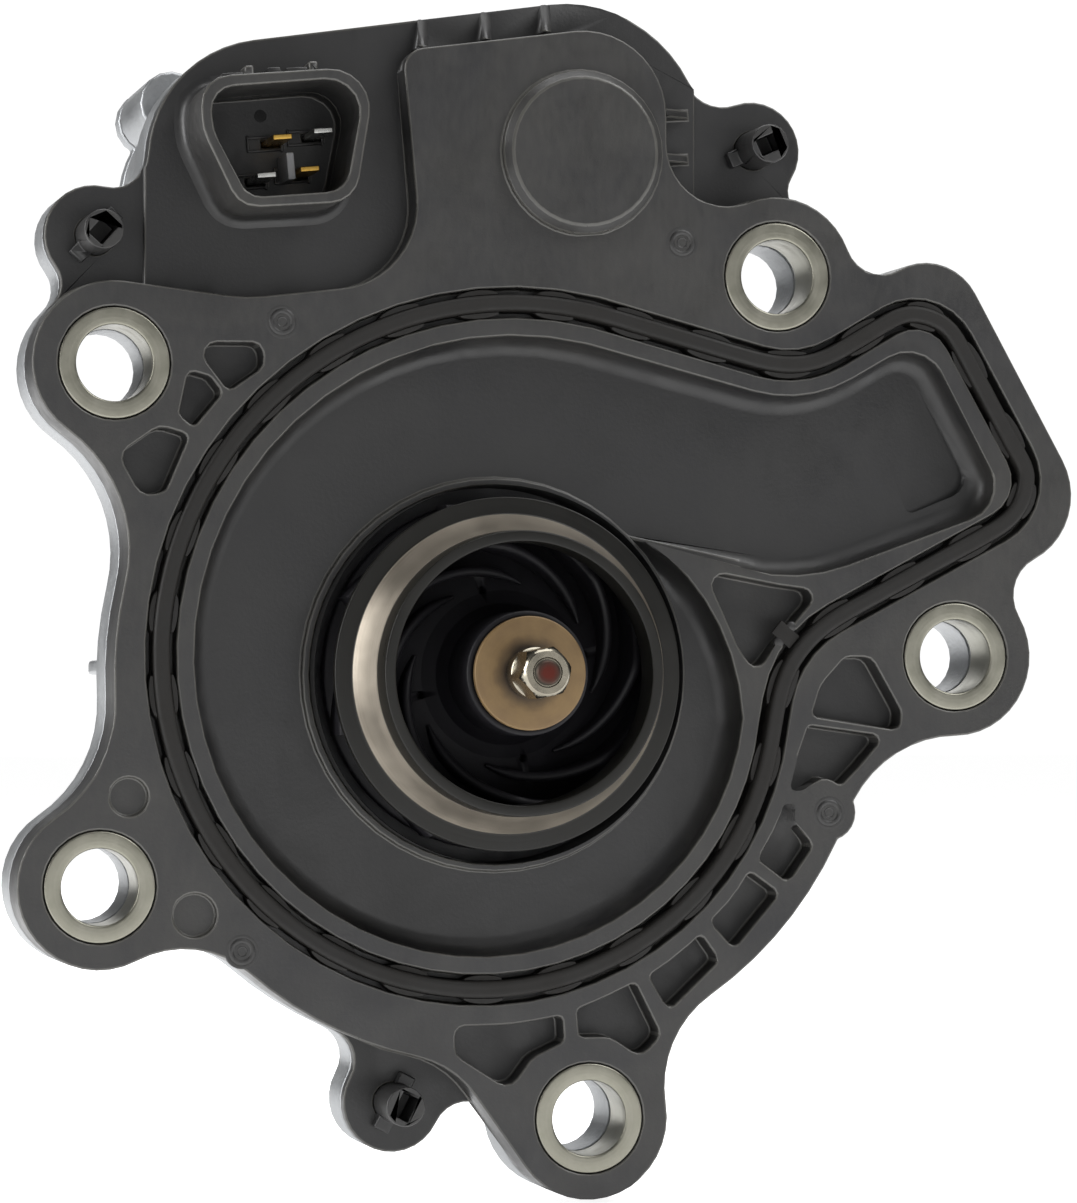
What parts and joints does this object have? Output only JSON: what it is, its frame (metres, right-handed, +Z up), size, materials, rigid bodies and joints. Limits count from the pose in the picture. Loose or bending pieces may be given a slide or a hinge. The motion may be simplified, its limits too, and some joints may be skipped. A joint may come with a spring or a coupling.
{
  "type": "water pump",
  "caption": "Electric coolant pump with a bolt-on flange, open volute recess, closed impeller, seal, cable socket and a finned motor housing.",
  "frame": {"origin": "on the impeller's axis, in the plane of the sleeve ends that touch the engine", "axes": "-Y out of the engine-side face towards the engine, +Y back into the motor, +Z up towards the connector, +X towards the outlet lobe"},
  "size_m": [0.1301, 0.081, 0.1439],
  "materials": {
    "pps_plastic": "satin moulded, dark neutral grey, glass filled",
    "seal_rubber": "matt black-brown rubber",
    "plated_steel": "machined and zinc plated, slightly warm",
    "die_cast_aluminium": "as cast, matt silver",
    "bearing_brown": "brown impregnated thrust washer",
    "carbon_black": "dull black",
    "copper": "enamelled copper wire",
    "core_steel": "stacked steel sheet",
    "board_green": "green solder mask",
    "gold_contact": "gold-plated contact",
    "key_grey": "light grey moulded"
  },
  "bodies": {
    "housing": {"pump_body": "pps_plastic", "connector_shell": "pps_plastic", "retaining_clip_1": "pps_plastic", "retaining_clip_2": "pps_plastic", "retaining_clip_3": "pps_plastic", "gasket": "seal_rubber", "can_seal": "seal_rubber", "cover_seal": "seal_rubber", "bolt_sleeve_1": "plated_steel", "bolt_sleeve_2": "plated_steel", "bolt_sleeve_3": "plated_steel", "bolt_sleeve_4": "plated_steel", "bolt_sleeve_5": "plated_steel", "retaining_nut": "plated_steel", "shaft": "plated_steel", "cover_screw_1": "plated_steel", "cover_screw_2": "plated_steel", "cover_screw_3": "plated_steel", "cover_screw_4": "plated_steel", "cover_screw_5": "plated_steel", "terminal_2": "plated_steel", "terminal_3": "plated_steel", "terminal_1": "gold_contact", "terminal_4": "gold_contact", "connector_key": "key_grey", "front_thrust_washer": "bearing_brown", "rear_thrust_washer": "bearing_brown", "separation_can": "carbon_black", "capacitor_1": "carbon_black", "capacitor_2": "carbon_black", "power_module": "carbon_black", "stator_core": "core_steel", "stator_coil_1": "copper", "stator_coil_2": "copper", "stator_coil_3": "copper", "stator_coil_4": "copper", "stator_coil_5": "copper", "stator_coil_6": "copper", "choke": "copper", "circuit_board": "board_green", "motor_housing": "die_cast_aluminium", "electronics_cover": "die_cast_aluminium"},
    "rotor": {"impeller": "pps_plastic", "impeller_front_shroud": "pps_plastic", "rotor_core": "core_steel", "rotor_magnet": "carbon_black", "rotor_bush": "carbon_black"}
  },
  "joints": [
    {"name": "rotor_spin", "type": "hinge", "parent": "housing", "child": "rotor", "pos_m": [0, 0, 0], "axis": [0, -1, 0], "continuous": true}
  ]
}
